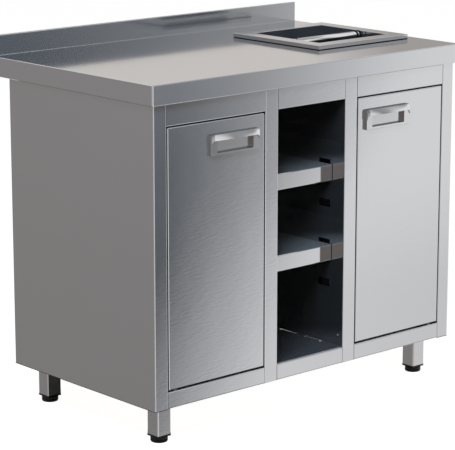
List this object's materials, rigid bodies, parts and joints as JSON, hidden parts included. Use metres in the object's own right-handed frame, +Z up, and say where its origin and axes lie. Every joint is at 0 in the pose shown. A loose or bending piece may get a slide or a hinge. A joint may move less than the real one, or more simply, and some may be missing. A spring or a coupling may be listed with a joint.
{
  "type": "coffee station counter",
  "caption": "Freestanding stainless steel coffee bar counter with rear upstand, knock-out chute over a bin, hinged doors, an open niche with loose shelves and square legs on levelling feet.",
  "frame": {"origin": "centre of the overall box, on the floor under the feet", "axes": "+X along the counter to the right as seen from the front, +Y to the back, +Z up"},
  "size_m": [1, 0.6128, 0.9045],
  "materials": {
    "steel": "brushed stainless sheet",
    "polished": "polished stainless",
    "zinc": "galvanised",
    "board": "laminated board",
    "plastic": "black moulded",
    "rubber": "black",
    "bin": "dark grey moulded"
  },
  "bodies": {
    "cabinet": {"worktop": "steel", "worktop_core": "board", "chute": "steel", "chute_seal": "rubber", "knock_bar": "polished", "bar_ring_left_1": "rubber", "bar_ring_left_2": "rubber", "bar_ring_right_1": "rubber", "bar_ring_right_2": "rubber", "waste_bin": "bin", "side_left": "steel", "side_right": "steel", "divider_left": "steel", "divider_right": "steel", "back_panel": "steel", "bottom_panel": "steel", "top_rail_left": "steel", "top_rail_middle": "steel", "top_rail_right": "steel", "bottom_rail_left": "steel", "bottom_rail_middle": "steel", "bottom_rail_right": "steel", "hinge_pin_left_top": "zinc", "hinge_pin_left_bottom": "zinc", "hinge_pin_right_top": "zinc", "hinge_pin_right_bottom": "zinc", "catch_left": "plastic", "catch_right": "plastic", "shelf_clip_upper_front_left": "zinc", "shelf_clip_upper_front_right": "zinc", "shelf_clip_upper_back_left": "zinc", "shelf_clip_upper_back_right": "zinc", "shelf_clip_lower_front_left": "zinc", "shelf_clip_lower_front_right": "zinc", "shelf_clip_lower_back_left": "zinc", "shelf_clip_lower_back_right": "zinc", "leg_front_left": "steel", "leg_front_right": "steel", "leg_back_left": "steel", "leg_back_right": "steel", "leg_insert_front_left": "plastic", "leg_insert_front_right": "plastic", "leg_insert_back_left": "plastic", "leg_insert_back_right": "plastic"},
    "left_door": {"door_left_skin": "steel", "door_left_liner": "steel", "handle_left": "polished", "hinge_bush_left_top": "plastic", "hinge_bush_left_bottom": "plastic"},
    "right_door": {"door_right_skin": "steel", "door_right_liner": "steel", "handle_right": "polished", "hinge_bush_right_top": "plastic", "hinge_bush_right_bottom": "plastic"},
    "upper_shelf": {"shelf_upper": "steel"},
    "lower_shelf": {"shelf_lower": "steel"},
    "front_left_foot": {"foot_front_left": "plastic"},
    "front_right_foot": {"foot_front_right": "plastic"},
    "back_left_foot": {"foot_back_left": "plastic"},
    "back_right_foot": {"foot_back_right": "plastic"}
  },
  "joints": [
    {"name": "left_door_hinge", "type": "hinge", "parent": "cabinet", "child": "left_door", "pos_m": [-0.426, -0.2826, 0.1402], "axis": [0, 0, -1], "range_deg": [0, 110]},
    {"name": "right_door_hinge", "type": "hinge", "parent": "cabinet", "child": "right_door", "pos_m": [0.426, -0.2826, 0.1402], "axis": [0, 0, 1], "range_deg": [0, 110]},
    {"name": "upper_shelf_slide", "type": "slide", "parent": "cabinet", "child": "upper_shelf", "axis": [0, -1, 0], "range_m": [0, 0.22]},
    {"name": "lower_shelf_slide", "type": "slide", "parent": "cabinet", "child": "lower_shelf", "axis": [0, -1, 0], "range_m": [0, 0.22]},
    {"name": "front_left_foot_screw", "type": "slide", "parent": "cabinet", "child": "front_left_foot", "axis": [0, 0, -1], "range_m": [0, 0.025]},
    {"name": "front_right_foot_screw", "type": "slide", "parent": "cabinet", "child": "front_right_foot", "axis": [0, 0, -1], "range_m": [0, 0.025]},
    {"name": "back_left_foot_screw", "type": "slide", "parent": "cabinet", "child": "back_left_foot", "axis": [0, 0, -1], "range_m": [0, 0.025]},
    {"name": "back_right_foot_screw", "type": "slide", "parent": "cabinet", "child": "back_right_foot", "axis": [0, 0, -1], "range_m": [0, 0.025]}
  ]
}
